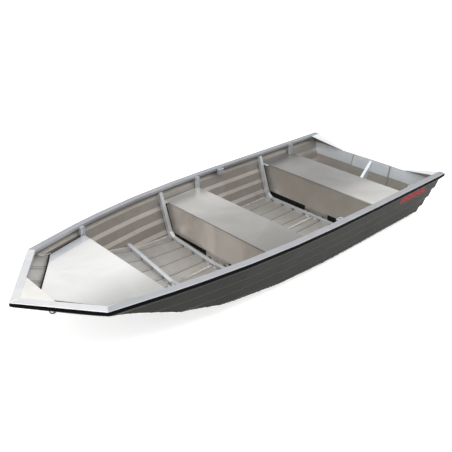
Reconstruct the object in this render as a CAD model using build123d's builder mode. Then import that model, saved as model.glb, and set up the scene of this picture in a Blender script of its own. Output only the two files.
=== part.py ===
from build123d import *
import os
from math import atan2, cos, sin, tan

# Open aluminium punt with a V nose, in millimetres.
# +X runs to the bow, +Y to port, +Z up. The origin is on the ground under the middle of the length.
# Places along the boat are distances s from the stern; those of the forward half follow the length.

# Overall sizes
LENGTH = 3600.0
STERN = -LENGTH / 2
NOSE_LENGTH = 352.0
SHOULDER_S = LENGTH - NOSE_LENGTH
TRANSOM_RAKE = 83.0
BOTTOM_Z = 30.0
FIT = 0.3

# Reach of the shapes that only trim others
HEADROOM = 60.0
DEEP = 300.0
OVERHEAD = 600.0
TIP_REACH = 400.0

# Sheet and section thicknesses
SIDE_T = 2.0
BOTTOM_T = 2.5
TRANSOM_T = 4.0
PLATE_T = 3.0
SEAT_T = 2.5

# Gunwale: s, half beam over the insert, height of the top
GUNWALE_LINE = [
    (0.0, 711.0, 430.0),
    (LENGTH - 2600.0, 704.5, 435.5),
    (LENGTH - 2100.0, 698.5, 441.0),
    (LENGTH - 1700.0, 682.5, 445.5),
    (LENGTH - 1300.0, 647.0, 448.5),
    (LENGTH - 950.0, 595.5, 449.0),
    (LENGTH - 740.0, 555.0, 447.5),
    (SHOULDER_S, 463.0, 441.0),
]
TIP_Z = 431.0
SHOULDER_TAPER = 0.27

# Bottom: s, keel height, rise per mm out from the keel, share of the full flute height
BOTTOM_LINE = [
    (0.0, 30.0, 0.0, 1.0),
    (LENGTH - 2300.0, 30.0, 0.0, 1.0),
    (LENGTH - 1700.0, 30.0, 0.04, 1.0),
    (LENGTH - 1250.0, 31.0, 0.125, 1.0),
    (LENGTH - 850.0, 58.0, 0.30, 0.5),
    (LENGTH - 550.0, 130.0, 0.44, 0.05),
    (SHOULDER_S, 222.0, 0.40, 0.05),
    (LENGTH - 180.0, 318.0, 0.34, 0.05),
    (LENGTH, 396.0, 0.34, 0.05),
]
BOTTOM_REACH = GUNWALE_LINE[0][1]
FLUTES = 4
FLUTE_PITCH = 125.0
FLUTE_FIRST = 84.0
FLUTE_H = 5.0
FLUTE_BASE = 22.0
FLUTE_CROWN = 9.0

# Gunwale extrusion and the insert in its outer groove
INSERT_W = 5.0
INSERT_TOP = 6.0
GUNWALE_EDGE_IN = 1.5
GUNWALE_W = 52.0
GUNWALE_TOP_T = 3.0
GUNWALE_WALL_H = 29.0
GUNWALE_LIP_H = 20.0

# Side pressing: depth below the gunwale top, inset from the outer edge
SIDE_TOP = 12.0
SIDE_PROFILE = [
    (SIDE_TOP, INSERT_W + GUNWALE_TOP_T + FIT),
    (40.0, 10.0),
    (72.0, 38.0),
    (140.0, 51.0),
    (165.0, 71.0),
    (232.0, 84.0),
    (257.0, 104.0),
    (325.0, 118.0),
    (350.0, 141.0),
    (500.0, 178.0),
]

# Bars under the bottom, and the seam strip on the floor
KEEL_W = 28.0
KEEL_START_S = 110.0
KEEL_END_S = LENGTH - 1260.0
RUNNER_Y = 260.0
RUNNER_END_S = LENGTH - 2300.0
SEAM_W = 36.0
SEAM_H = 5.0

# Transom: the sheet's lowered middle, the strip along it, the motor pad, the knee and the bung
TRANSOM_MID_Z = 345.0
TRANSOM_MID_HALF = 350.0
TRANSOM_CORNER_HALF = 600.0
CAP_H = 108.0
CAP_T = 3.0
PAD_HALF = 208.0
PAD_H = 190.0
PAD_CORNER = 12.0
PAD_INNER_T = 12.0
PAD_OUTER_T = 8.0
KNEE_T = 6.0
KNEE_REACH = 250.0
KNEE_FLANGE_W = 28.0
KNEE_FLANGE_T = 4.0
BUNG_Y = 130.0
BUNG_Z = 62.0
BUNG_D = 34.0
BUNG_LIP = 4.0

# Corner plates: run along the side, run at the inner end, half width out to the gunwale
CORNER_RUN = 124.0
CORNER_MIN = 30.0
CORNER_OUT_HALF = 680.0

# Seats: s of the rear edge, s of the front edge
SEATS = {"mid": (LENGTH - 1967.0, LENGTH - 1598.0), "aft": (435.0, 822.0)}
SEAT_Z = 340.0
SEAT_LIP = 8.0
SEAT_INSET = 54.0
PANEL_TOP_INSET = 66.0
PANEL_FOOT_INSET = 190.0
TAB_HALF = 125.0
CUT_OUT_H = 52.0
RAIL_INNER = 572.0
FOAM_INNER = 40.0
FOAM_SHOW = 8.0

# Hangers: channels from the gunwale down to the rails
HANGER_W = 30.0
HANGER_D = 24.0
HANGER_DROP = 5.0

# Ribs
RIB_GAP = 30.0
RIB_DEPTH = 24.0
RIB_FLANGE = 30.0
FRONT_RIB_S = LENGTH - 1173.0
NOTCH_W = 32.0
NOTCH_H = 13.0
SEAM_NOTCH_W = SEAM_W + 8.0
ARM_W = 35.0
ARM_TOP_INSET = 27.0
ARM_SLOPE = 0.366
RIB_CHAMFER = 30.0

# Foredeck: s and inset from the gunwale's edge at its rear corner and at its shoulder
DECK_Z = 375.0
DECK_REAR_S = LENGTH - 788.0
DECK_REAR_INSET = 142.0
DECK_CORNER_S = LENGTH - 416.0
DECK_CORNER_INSET = 158.0
DECK_TIP_S = LENGTH - 178.0
DECK_LIP = 25.0
DECK_RAIL_W = 75.0
DECK_RAIL_END_S = LENGTH - 477.0
DECK_RAIL_IN = 25.0
DECK_FOAM_H = 40.0
DECK_FOAM_SHOW = 12.0
BOW_PLATE_S = LENGTH - 198.0

# Rowlock sockets
ROWLOCK_AFT = 253.0
ROWLOCK_L = 60.0
ROWLOCK_W = 32.0
ROWLOCK_CORNER = 8.0
ROWLOCK_DROP = 4.0
ROWLOCK_BORE = 13.0
ROWLOCK_H = 42.0

# Towing eye
EYE_S = LENGTH - 263.0
EYE_BAR = 8.0
EYE_R = 27.0
EYE_LEG = 14.0
EYE_EMBED = 12.0
EYE_BASE = 5.0
EYE_BASE_W = 26.0
STEM_RISE = (180.0, 90.0)

os.makedirs("parts", exist_ok=True)


def save(part, label):
    part.label = label
    export_step(part, f"parts/{label}.step")


def rail_plane(s, half, top, inward):
    """Vertical plane across the gunwale, with local x inboard and local y up, port side."""
    origin = Vector(STERN + s, half, top)
    return Plane(origin=origin, x_dir=inward, z_dir=inward.cross(Vector(0, 0, 1)))


# Corner geometry of the gunwale in plan: the mitre at the shoulder and at the tip
SHOULDER_HALF = GUNWALE_LINE[-1][1]
nose_in = Vector(-SHOULDER_HALF, -NOSE_LENGTH, 0).normalized()
side_in = Vector(-SHOULDER_TAPER, -1, 0).normalized()
shoulder_in = (nose_in + side_in).normalized()
shoulder_stretch = 1 / shoulder_in.dot(side_in)
tip_in = Vector(-1, 0, 0)
tip_stretch = 1 / tip_in.dot(nose_in)

# Planes across the gunwale: plane, stretch of insets across it, distance inboard to the centreline
side_planes = []
for s, half, top in GUNWALE_LINE[:-1]:
    side_planes.append((rail_plane(s, half, top, Vector(0, -1, 0)), 1.0, half))
shoulder_plane = rail_plane(SHOULDER_S, SHOULDER_HALF, GUNWALE_LINE[-1][2], shoulder_in)
side_planes.append((shoulder_plane, shoulder_stretch, SHOULDER_HALF / -shoulder_in.Y))
tip_plane = rail_plane(LENGTH, 0.0, TIP_Z, tip_in)
nose_planes = [side_planes[-1], (tip_plane, tip_stretch, TIP_REACH)]
all_planes = side_planes + nose_planes[1:]


def section(plane, points):
    """Face inside one closed outline of (x, y) points on a plane."""
    with BuildSketch(plane) as drawn:
        with BuildLine():
            Polyline(*points, close=True)
        make_face()
    return drawn.sketch.face()


def ring(planes, outline):
    """One face per plane from (depth, inset) points below the gunwale top and in from its edge."""
    faces = []
    for plane, stretch, _ in planes:
        faces.append(section(plane, [(inset * stretch, -depth) for depth, inset in outline]))
    return faces


def hull_rings(planes, wall, top):
    """Faces of the space inboard of the side pressing, at a wall thickness in and below a top."""
    faces = []
    for plane, stretch, centre in planes:
        points = [((inset + wall) * stretch, -depth) for depth, inset in SIDE_PROFILE[1:]]
        points.insert(0, (points[0][0], -top))
        points += [(centre, -SIDE_PROFILE[-1][0]), (centre, -top)]
        faces.append(section(plane, points))
    return faces


def inboard_rings(planes, inset, top, foot):
    """Faces of the space inboard of one inset, between two depths below the gunwale top."""
    faces = []
    for plane, stretch, centre in planes:
        edge = inset * stretch
        faces.append(section(plane, [(edge, -top), (edge, -foot), (centre, -foot), (centre, -top)]))
    return faces


def bottom_rings(lower, upper):
    """Fluted V sections of the port half of the bottom, from one height above its face to another."""
    faces = []
    for s, keel_z, rise, flute in BOTTOM_LINE:
        across = [(0.0, 0.0)]
        for i in range(FLUTES):
            y = FLUTE_FIRST + i * FLUTE_PITCH
            across += [(y - FLUTE_BASE / 2, 0.0), (y - FLUTE_CROWN / 2, FLUTE_H * flute)]
            across += [(y + FLUTE_CROWN / 2, FLUTE_H * flute), (y + FLUTE_BASE / 2, 0.0)]
        across.append((BOTTOM_REACH, 0.0))
        skin = [(y, keel_z + rise * y + up) for y, up in across]
        if lower is None:
            points = [(y, z + upper) for y, z in skin] + [(BOTTOM_REACH, -DEEP), (0.0, -DEEP)]
        else:
            points = [(y, z + upper) for y, z in skin] + [(y, z + lower) for y, z in reversed(skin)]
        plane = Plane(origin=(STERN + s, 0, 0), x_dir=(0, 1, 0), z_dir=(1, 0, 0))
        faces.append(section(plane, points))
    return faces


def plate_outline(outer, thickness):
    """Closed outline of a sheet whose outer face runs through (depth, inset) points."""
    return outer + [(depth, inset + thickness) for depth, inset in reversed(outer)]


# Raked planes of the transom: its outer face, and the inner face that the skin butts against
rake = atan2(TRANSOM_RAKE, GUNWALE_LINE[0][2] - BOTTOM_Z)
transom_normal = Vector(cos(rake), 0, sin(rake))
transom_outer = Plane(origin=(STERN, 0, GUNWALE_LINE[0][2]), x_dir=(0, 1, 0), z_dir=transom_normal)
transom_inner = transom_outer.offset(TRANSOM_T)

# Skin
with BuildPart() as hull_half:
    loft(hull_rings(all_planes, 0.0, -HEADROOM), ruled=True)

with BuildPart() as below_floor:
    loft(bottom_rings(None, BOTTOM_T), ruled=True)

with BuildPart() as bottom_port:
    loft(bottom_rings(0.0, BOTTOM_T), ruled=True)
    add(hull_half.part, mode=Mode.INTERSECT)
    split(bisect_by=transom_inner, keep=Keep.TOP)
save(bottom_port.part, "bottom_port")
save(mirror(bottom_port.part, about=Plane.XZ), "bottom_starboard")

with BuildPart() as side_port:
    loft(ring(side_planes, plate_outline(SIDE_PROFILE, SIDE_T)), ruled=True)
    add(below_floor.part, mode=Mode.SUBTRACT)
    split(bisect_by=transom_inner, keep=Keep.TOP)
save(side_port.part, "side_port")
save(mirror(side_port.part, about=Plane.XZ), "side_starboard")

with BuildPart() as bow_port:
    loft(ring(nose_planes, plate_outline(SIDE_PROFILE, SIDE_T)), ruled=True)
    add(below_floor.part, mode=Mode.SUBTRACT)
save(bow_port.part, "bow_port")
save(mirror(bow_port.part, about=Plane.XZ), "bow_starboard")


def gunwale_at(s):
    """Half beam over the gunwale and height of its top at a distance from the stern."""
    for (s0, half0, top0), (s1, half1, top1) in zip(GUNWALE_LINE, GUNWALE_LINE[1:]):
        if s <= s1:
            share = (s - s0) / (s1 - s0)
            return half0 + (half1 - half0) * share, top0 + (top1 - top0) * share
    raise ValueError("past the shoulder")


def beam(s):
    """Half beam over the gunwale at a distance from the stern."""
    return gunwale_at(s)[0]


def sheer(s):
    """Height of the gunwale top at a distance from the stern."""
    return gunwale_at(s)[1]


def floor_line(s):
    """Height of the floor on the centreline, and its rise per mm outboard."""
    for (s0, z0, rise0, _), (s1, z1, rise1, _) in zip(BOTTOM_LINE, BOTTOM_LINE[1:]):
        if s <= s1:
            share = (s - s0) / (s1 - s0)
            return z0 + (z1 - z0) * share + BOTTOM_T, rise0 + (rise1 - rise0) * share


# Gunwale extrusion: top, outer wall and inner lip, with a groove face for the insert
wall_in = INSERT_W + GUNWALE_TOP_T
GUNWALE_OUTLINE = [
    (0.0, GUNWALE_EDGE_IN),
    (INSERT_TOP, GUNWALE_EDGE_IN),
    (INSERT_TOP, INSERT_W),
    (GUNWALE_WALL_H, INSERT_W),
    (GUNWALE_WALL_H, wall_in),
    (GUNWALE_TOP_T, wall_in),
    (GUNWALE_TOP_T, GUNWALE_W - GUNWALE_TOP_T),
    (GUNWALE_LIP_H, GUNWALE_W - GUNWALE_TOP_T),
    (GUNWALE_LIP_H, GUNWALE_W),
    (0.0, GUNWALE_W),
]
INSERT_OUTLINE = [
    (INSERT_TOP + FIT, 0.0),
    (GUNWALE_WALL_H, 0.0),
    (GUNWALE_WALL_H, INSERT_W - FIT),
    (INSERT_TOP + FIT, INSERT_W - FIT),
]

# Port halves of the forms that trim the pieces inside the hull
with BuildPart() as below_hull:
    loft(bottom_rings(None, 0.0), ruled=True)

with BuildPart() as inside:
    loft(hull_rings(all_planes, SIDE_T + FIT, GUNWALE_LIP_H + FIT), ruled=True)

with BuildPart() as between_gunwales:
    loft(inboard_rings(all_planes, GUNWALE_W + FIT, -HEADROOM, DEEP), ruled=True)

# Gunwale and its black insert
with BuildPart() as gunwale_port:
    loft(ring(side_planes, GUNWALE_OUTLINE), ruled=True)
with BuildPart() as gunwale_bow_port:
    loft(ring(nose_planes, GUNWALE_OUTLINE), ruled=True)
with BuildPart() as insert_port:
    loft(ring(all_planes, INSERT_OUTLINE), ruled=True)
for piece, label in ((gunwale_port, "gunwale"), (gunwale_bow_port, "gunwale_bow"), (insert_port, "insert")):
    save(piece.part, f"{label}_port")
    save(mirror(piece.part, about=Plane.XZ), f"{label}_starboard")

# Keel and runners under the flat of the bottom, and the seam strip on the floor
with BuildPart() as keel:
    with BuildSketch(Plane.XY):
        with Locations((STERN + (KEEL_START_S + KEEL_END_S) / 2, 0)):
            Rectangle(KEEL_END_S - KEEL_START_S, KEEL_W)
    extrude(amount=BOTTOM_Z)
save(keel.part, "keel")

with BuildPart() as runner_port:
    with BuildSketch(Plane.XY):
        with Locations((STERN + (KEEL_START_S + RUNNER_END_S) / 2, RUNNER_Y)):
            Rectangle(RUNNER_END_S - KEEL_START_S, KEEL_W)
    extrude(amount=BOTTOM_Z)
save(runner_port.part, "runner_port")
save(mirror(runner_port.part, about=Plane.XZ), "runner_starboard")

with BuildPart() as seam_strip:
    with BuildSketch(Plane.XY.offset(BOTTOM_Z)):
        with Locations((STERN + (KEEL_START_S + KEEL_END_S) / 2, SEAM_W / 4)):
            Rectangle(KEEL_END_S - KEEL_START_S, SEAM_W / 2)
    extrude(amount=BOTTOM_T + SEAM_H)
    add(below_floor.part, mode=Mode.SUBTRACT)
    mirror(about=Plane.XZ)
save(seam_strip.part, "seam_strip")


def across(s):
    """Plane across the hull with local x to port, facing the bow."""
    return Plane(origin=(STERN + s, 0, 0), x_dir=(0, 1, 0), z_dir=(1, 0, 0))


def limber_places(s):
    """Centres of the drain notches over the flutes, port side."""
    base, rise = floor_line(s)
    places = []
    for i in range(FLUTES):
        y = FLUTE_FIRST + i * FLUTE_PITCH
        places.append((y, base + rise * y))
    return places


def arm_edge(s, z):
    """Outer edge of a rib's arm at one height."""
    return beam(s) - ARM_TOP_INSET - ARM_SLOPE * (sheer(s) - GUNWALE_LIP_H - z)


def frame_opening(s, arms):
    """Half outline of the open space above a rib: over the floor member and between the arms."""
    base, rise = floor_line(s)
    member = base + RIB_DEPTH
    if not arms:
        return [(0.0, member), (BOTTOM_REACH, member + rise * BOTTOM_REACH), (BOTTOM_REACH, OVERHEAD), (0.0, OVERHEAD)]
    corner = (arm_edge(s, 0.0) - ARM_W + ARM_SLOPE * member) / (1 - ARM_SLOPE * rise)
    corner_z = member + rise * corner
    return [
        (0.0, member),
        (corner - RIB_CHAMFER, corner_z - rise * RIB_CHAMFER),
        (corner + ARM_SLOPE * RIB_CHAMFER, corner_z + RIB_CHAMFER),
        (arm_edge(s, OVERHEAD) - ARM_W, OVERHEAD),
        (0.0, OVERHEAD),
    ]


def frame_body(s, arms):
    """Half outline of a rib's full width, down past the floor and up past the gunwale."""
    low = floor_line(s)[0] - HEADROOM
    foot = arm_edge(s, low) if arms else BOTTOM_REACH
    head = arm_edge(s, OVERHEAD) if arms else BOTTOM_REACH
    return [(0.0, low), (foot, low), (head, OVERHEAD), (0.0, OVERHEAD)]


# Ribs: rear face, whether it has arms up to the gunwale
RIBS = {
    "rib_front": (FRONT_RIB_S, False),
    "rib_mid": (SEATS["mid"][1] + RIB_GAP, True),
    "rib_aft": (SEATS["aft"][1] + RIB_GAP, True),
}
for label, (rear, arms) in RIBS.items():
    front = rear + RIB_FLANGE
    with BuildPart() as rib:
        with BuildSketch(across(front)):
            with BuildLine():
                Polyline(*frame_body(front, arms), close=True)
            make_face()
            with BuildLine():
                Polyline(*frame_opening(front, arms), close=True)
            make_face(mode=Mode.SUBTRACT)
            with Locations(*limber_places(front)):
                Rectangle(NOTCH_W, 2 * NOTCH_H, mode=Mode.SUBTRACT)
            with Locations((0, floor_line(front)[0])):
                Rectangle(SEAM_NOTCH_W, 2 * NOTCH_H, mode=Mode.SUBTRACT)
        extrude(amount=-PLATE_T)
        with BuildSketch(across(front)):
            with BuildLine():
                Polyline(*frame_opening(front, arms), close=True)
            make_face()
            offset(amount=PLATE_T, kind=Kind.INTERSECTION)
            with BuildLine():
                Polyline(*frame_opening(front, arms), close=True)
            make_face(mode=Mode.SUBTRACT)
        extrude(amount=-RIB_FLANGE)
        add(inside.part, mode=Mode.INTERSECT)
        add(below_floor.part, mode=Mode.SUBTRACT)
        mirror(about=Plane.XZ)
    save(rib.part, label)


def hanger_web(rear):
    """Half width at the web of a hanger that reaches forward from s, clear of the gunwale's lip."""
    return beam(rear + HANGER_W) - GUNWALE_W - FIT


def channel(rear):
    """Plan of a hanger: a channel open inboard, its web against the gunwale's lip, from s forward."""
    web = hanger_web(rear)
    with Locations((STERN + rear + HANGER_W / 2, web - HANGER_D / 2)):
        Rectangle(HANGER_W, HANGER_D)
    with Locations((STERN + rear + HANGER_W / 2, web - HANGER_D / 2 - PLATE_T)):
        Rectangle(HANGER_W - 2 * PLATE_T, HANGER_D, mode=Mode.SUBTRACT)


# Seats: a top with turned-down edges over two panels, on rails from the rib to a hanger
for name, (rear, front) in SEATS.items():
    depth = front - rear
    under = SEAT_Z - SEAT_T
    rear_half = beam(rear) - SEAT_INSET
    front_half = beam(front) - SEAT_INSET
    with BuildPart() as seat_top:
        with BuildSketch(Plane.XY.offset(SEAT_Z)):
            with BuildLine():
                Polyline(
                    (STERN + rear, -rear_half),
                    (STERN + front, -front_half),
                    (STERN + front, front_half),
                    (STERN + rear, rear_half),
                    close=True,
                )
            make_face()
            with Locations(*[(STERN + rear, side * hanger_web(rear)) for side in (-1, 1)]):
                Rectangle(2 * (HANGER_W + FIT), 2 * (HANGER_D + FIT), mode=Mode.SUBTRACT)
        extrude(amount=-SEAT_T)
        with BuildSketch(Plane.XY.offset(under)):
            for x in (STERN + rear + SEAT_T / 2, STERN + front - SEAT_T / 2):
                with Locations((x, 0)):
                    Rectangle(SEAT_T, 2 * (RAIL_INNER - FIT))
        extrude(amount=-SEAT_LIP)
    save(seat_top.part, f"seat_{name}_top")

    for side, face in (("rear", rear + SEAT_T), ("front", front - SEAT_T - PLATE_T)):
        panel_top = beam(face) - PANEL_TOP_INSET
        panel_foot = beam(face) - PANEL_FOOT_INSET
        with BuildPart() as panel:
            with BuildSketch(across(face)):
                with BuildLine():
                    Polyline(
                        (0.0, 0.0),
                        (panel_foot, 0.0),
                        (panel_top, under - PLATE_T),
                        (RAIL_INNER - FIT, under - PLATE_T),
                        (RAIL_INNER - FIT, under),
                        (0.0, under),
                        close=True,
                    )
                make_face()
                with Locations(((TAB_HALF + panel_top) / 2, 0)):
                    Rectangle(panel_top - TAB_HALF, 2 * (floor_line(face)[0] + CUT_OUT_H), mode=Mode.SUBTRACT)
                with Locations(*limber_places(face)):
                    Rectangle(NOTCH_W, 2 * NOTCH_H, mode=Mode.SUBTRACT)
                with Locations((0, floor_line(face)[0])):
                    Rectangle(SEAM_NOTCH_W, 2 * NOTCH_H, mode=Mode.SUBTRACT)
            extrude(amount=PLATE_T)
            add(below_floor.part, mode=Mode.SUBTRACT)
            mirror(about=Plane.XZ)
        save(panel.part, f"seat_{name}_{side}")

    with BuildPart() as foam:
        with BuildSketch(across(rear + SEAT_T + PLATE_T)):
            with BuildLine():
                Polyline(
                    (FOAM_INNER, 0.0),
                    (beam(front) - PANEL_FOOT_INSET, 0.0),
                    (front_half + FOAM_SHOW, under - PLATE_T),
                    (FOAM_INNER, under - PLATE_T),
                    close=True,
                )
            make_face()
        extrude(amount=depth - 2 * (SEAT_T + PLATE_T))
        add(inside.part, mode=Mode.INTERSECT)
        add(below_floor.part, mode=Mode.SUBTRACT)
        mirror(about=Plane.XZ)
    save(foam.part, f"seat_{name}_foam")

    with BuildPart() as rails:
        with BuildSketch(Plane.XY.offset(under)):
            with BuildLine():
                Polyline(
                    (STERN + rear, RAIL_INNER),
                    (STERN + front + RIB_GAP, RAIL_INNER),
                    (STERN + front + RIB_GAP, beam(front + RIB_GAP) - SEAT_INSET),
                    (STERN + rear, rear_half),
                    close=True,
                )
            make_face()
        extrude(amount=-PLATE_T)
        mirror(about=Plane.XZ)
    save(rails.part, f"seat_{name}_rails")

    with BuildPart() as hangers:
        with BuildSketch(Plane.XY.offset(under)):
            channel(rear)
        extrude(amount=sheer(rear) - HANGER_DROP - under)
        mirror(about=Plane.XZ)
    save(hangers.part, f"seat_{name}_hangers")

# Foredeck: a six-sided sheet over foam, on side rails hung from the gunwale, and a plate in the nose
deck_rear_half = beam(DECK_REAR_S) - DECK_REAR_INSET
deck_corner_half = beam(DECK_CORNER_S) - DECK_CORNER_INSET
deck_taper = (deck_rear_half - deck_corner_half) / (DECK_CORNER_S - DECK_REAR_S)
with BuildPart() as foredeck:
    with BuildSketch(Plane.XY.offset(DECK_Z)):
        with BuildLine():
            Polyline(
                (STERN + DECK_REAR_S, -deck_rear_half),
                (STERN + DECK_CORNER_S, -deck_corner_half),
                (STERN + DECK_TIP_S, 0.0),
                (STERN + DECK_CORNER_S, deck_corner_half),
                (STERN + DECK_REAR_S, deck_rear_half),
                close=True,
            )
        make_face()
    extrude(amount=-SEAT_T)
    with BuildSketch(Plane.XY.offset(DECK_Z - SEAT_T)):
        with Locations((STERN + DECK_REAR_S + SEAT_T / 2, 0)):
            Rectangle(SEAT_T, 2 * (deck_rear_half - DECK_RAIL_IN - PLATE_T))
    extrude(amount=-DECK_LIP)
save(foredeck.part, "foredeck")

rail_end = deck_rear_half - deck_taper * (DECK_RAIL_END_S - DECK_REAR_S)
with BuildPart() as foredeck_rails:
    with BuildSketch(Plane.XY.offset(DECK_Z - SEAT_T)):
        with BuildLine():
            Polyline(
                (STERN + DECK_REAR_S, deck_rear_half - DECK_RAIL_IN),
                (STERN + DECK_CORNER_S, deck_corner_half - DECK_RAIL_IN),
                (STERN + DECK_CORNER_S, deck_corner_half),
                (STERN + DECK_RAIL_END_S, rail_end + DECK_RAIL_W),
                (STERN + DECK_REAR_S, deck_rear_half + DECK_RAIL_W),
                close=True,
            )
        make_face()
    extrude(amount=-PLATE_T)
    add(inside.part, mode=Mode.INTERSECT)
    mirror(about=Plane.XZ)
save(foredeck_rails.part, "foredeck_rails")

foam_foot = DECK_Z - SEAT_T - PLATE_T - DECK_FOAM_H
with BuildPart() as foredeck_foam:
    with BuildSketch(Plane.XY.offset(foam_foot)):
        with BuildLine():
            Polyline(
                (STERN + DECK_REAR_S + PLATE_T, 0.0),
                (STERN + DECK_REAR_S + PLATE_T, deck_rear_half + DECK_RAIL_W),
                (STERN + DECK_RAIL_END_S, rail_end + DECK_RAIL_W),
                (STERN + DECK_CORNER_S, deck_corner_half),
                (STERN + DECK_TIP_S, 0.0),
                close=True,
            )
        make_face()
        offset(amount=DECK_FOAM_SHOW, kind=Kind.INTERSECTION)
        with Locations((STERN + DECK_REAR_S + SEAT_T + PLATE_T, 0)):
            Rectangle(LENGTH, 2 * LENGTH, align=(Align.MIN, Align.CENTER), mode=Mode.INTERSECT)
        with Locations((STERN + DECK_REAR_S, 0)):
            Rectangle(LENGTH, LENGTH, align=(Align.MIN, Align.MIN), mode=Mode.INTERSECT)
    extrude(amount=DECK_FOAM_H)
    add(inside.part, mode=Mode.INTERSECT)
    add(below_floor.part, mode=Mode.SUBTRACT)
    mirror(about=Plane.XZ)
save(foredeck_foam.part, "foredeck_foam")

with BuildPart() as foredeck_hangers:
    with BuildSketch(Plane.XY.offset(DECK_Z - SEAT_T)):
        channel(DECK_REAR_S)
    extrude(amount=sheer(DECK_REAR_S) - HANGER_DROP - DECK_Z + SEAT_T)
    mirror(about=Plane.XZ)
save(foredeck_hangers.part, "foredeck_hangers")

plate_half = (LENGTH - BOW_PLATE_S) / NOSE_LENGTH * SHOULDER_HALF - (GUNWALE_W + FIT) / -nose_in.Y
plate_tip = LENGTH - (GUNWALE_W + FIT) * tip_stretch
with BuildPart() as bow_plate:
    with BuildSketch(Plane.XY.offset(TIP_Z)):
        with BuildLine():
            Polyline(
                (STERN + BOW_PLATE_S, -plate_half),
                (STERN + plate_tip, 0.0),
                (STERN + BOW_PLATE_S, plate_half),
                close=True,
            )
        make_face()
    extrude(amount=-PLATE_T)
save(bow_plate.part, "bow_plate")


def up_rake(z):
    """Distance along the rake from the gunwale's height to a lower one, for the transom's sketches."""
    return (z - GUNWALE_LINE[0][2]) / cos(rake)


# Transom: a raked sheet with a lowered middle, stiffened by a strip below it and over the pad
corner_z = GUNWALE_LINE[0][2] - GUNWALE_LIP_H - FIT - (TRANSOM_T + CAP_T) * tan(rake)
TRANSOM_TOP = [
    (0.0, up_rake(TRANSOM_MID_Z)),
    (TRANSOM_MID_HALF, up_rake(TRANSOM_MID_Z)),
    (TRANSOM_CORNER_HALF, up_rake(corner_z)),
    (2 * BOTTOM_REACH, up_rake(corner_z)),
]
with BuildPart() as transom:
    with BuildSketch(transom_outer):
        with BuildLine():
            Polyline(*TRANSOM_TOP, (2 * BOTTOM_REACH, up_rake(-DEEP)), (0.0, up_rake(-DEEP)), close=True)
        make_face()
    extrude(amount=TRANSOM_T)
    add(hull_half.part, mode=Mode.INTERSECT)
    add(below_hull.part, mode=Mode.SUBTRACT)
    mirror(about=Plane.XZ)
    with BuildSketch(transom_outer):
        with Locations((BUNG_Y, up_rake(BUNG_Z))):
            Circle(BUNG_D / 2 + FIT)
    extrude(amount=TRANSOM_T, mode=Mode.SUBTRACT)
save(transom.part, "transom")

with BuildPart() as transom_cap:
    with BuildSketch(transom_inner):
        with Locations((0, up_rake(TRANSOM_MID_Z) - CAP_H / 2)):
            Rectangle(4 * TRANSOM_CORNER_HALF, CAP_H)
            Rectangle(2 * PAD_HALF, CAP_H, mode=Mode.SUBTRACT)
        split(bisect_by=Plane.XZ, keep=Keep.BOTTOM)
    extrude(amount=CAP_T)
    add(inside.part, mode=Mode.INTERSECT)
    mirror(about=Plane.XZ)
    with BuildSketch(transom_inner.offset(PAD_INNER_T)):
        with Locations((0, up_rake(TRANSOM_MID_Z) - CAP_H / 2)):
            Rectangle(2 * PAD_HALF - 2 * PAD_CORNER, CAP_H)
    extrude(amount=CAP_T)
save(transom_cap.part, "transom_cap")

pad_middle = up_rake(TRANSOM_MID_Z) - PAD_H / 2
with BuildPart() as motor_pad_inner:
    with BuildSketch(transom_inner):
        with Locations((0, pad_middle)):
            RectangleRounded(2 * PAD_HALF, PAD_H, PAD_CORNER)
    extrude(amount=PAD_INNER_T)
save(motor_pad_inner.part, "motor_pad_inner")

with BuildPart() as motor_pad_outer:
    with BuildSketch(transom_outer):
        with Locations((0, pad_middle)):
            RectangleRounded(2 * PAD_HALF, PAD_H, PAD_CORNER)
    extrude(amount=-PAD_OUTER_T)
save(motor_pad_outer.part, "motor_pad_outer")

with BuildPart() as bung:
    with BuildSketch(transom_outer.offset(-BUNG_LIP)):
        with Locations((BUNG_Y, up_rake(BUNG_Z))):
            Circle(BUNG_D / 2 + BUNG_LIP)
    extrude(amount=BUNG_LIP)
    with BuildSketch(transom_outer):
        with Locations((BUNG_Y, up_rake(BUNG_Z))):
            Circle(BUNG_D / 2)
    extrude(amount=TRANSOM_T)
save(bung.part, "bung")

# Knee from the strip over the pad to the floor, with a flange along its sloping edge
pad_face = transom_inner.offset(PAD_INNER_T)
strip_face = pad_face.offset(CAP_T)
strip_top = strip_face.from_local_coords((0, up_rake(TRANSOM_MID_Z) - PAD_CORNER, 0))
strip_foot = strip_face.from_local_coords((0, up_rake(TRANSOM_MID_Z) - CAP_H, 0))
pad_step = pad_face.from_local_coords((0, up_rake(TRANSOM_MID_Z) - CAP_H, 0))
pad_foot = pad_face.from_local_coords((0, pad_middle - PAD_H / 2, 0))
skin_foot = transom_inner.from_local_coords((0, pad_middle - PAD_H / 2, 0))
knee_foot = transom_inner.from_local_coords((0, up_rake(BOTTOM_Z + BOTTOM_T + SEAM_H), 0))
with BuildPart() as transom_knee:
    with BuildSketch(Plane.XZ):
        with BuildLine():
            Polyline(
                (strip_top.X, strip_top.Z),
                (strip_foot.X, strip_foot.Z),
                (pad_step.X, pad_step.Z),
                (pad_foot.X, pad_foot.Z),
                (skin_foot.X, skin_foot.Z),
                (knee_foot.X, knee_foot.Z),
                (knee_foot.X + KNEE_REACH, knee_foot.Z),
                close=True,
            )
        make_face()
    extrude(amount=KNEE_T / 2, both=True)
    with BuildSketch(Plane.XZ):
        with BuildLine():
            Polyline(
                (strip_top.X, strip_top.Z),
                (knee_foot.X + KNEE_REACH, knee_foot.Z),
                (knee_foot.X + KNEE_REACH + KNEE_FLANGE_T, knee_foot.Z),
                (strip_top.X + KNEE_FLANGE_T, strip_top.Z),
                close=True,
            )
        make_face()
    extrude(amount=KNEE_FLANGE_W / 2, both=True)
save(transom_knee.part, "transom_knee")

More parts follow.
